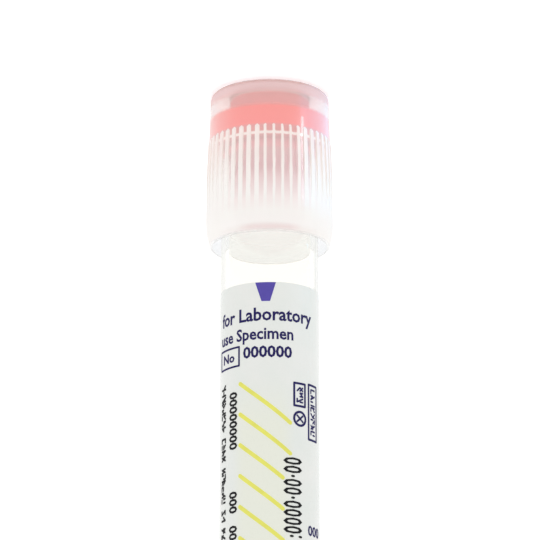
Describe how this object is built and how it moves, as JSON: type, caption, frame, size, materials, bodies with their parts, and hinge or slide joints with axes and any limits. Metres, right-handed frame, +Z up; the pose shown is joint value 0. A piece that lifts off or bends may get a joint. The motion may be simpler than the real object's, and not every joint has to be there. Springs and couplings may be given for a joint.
{
  "type": "blood collection tube",
  "caption": "Empty clear plastic tube for drawing blood, with a round bottom, a wrap-round label and a rubber stopper under a ribbed translucent shield that pulls off.",
  "frame": {"origin": "on the surface the tube stands on, at the middle of the closure's flat top", "axes": "+Z up along the tube's axis, from the closure at the foot to the tube's round bottom; -Y through the middle of the label's front"},
  "size_m": [0.0172, 0.0172, 0.1093],
  "materials": {
    "clear_plastic": "clear, glossy",
    "label_film": "off-white satin film",
    "stopper_rubber": "smooth, soft sheen",
    "natural_plastic": "natural translucent, satin"
  },
  "bodies": {
    "closure": {"closure_shield": "natural_plastic", "rubber_stopper": "stopper_rubber"},
    "tube": {"tube": "clear_plastic", "label": "label_film"}
  },
  "joints": [
    {"name": "closure_pull", "type": "slide", "parent": "closure", "child": "tube", "axis": [0, 0, 1], "range_m": [0, 0.04]}
  ]
}
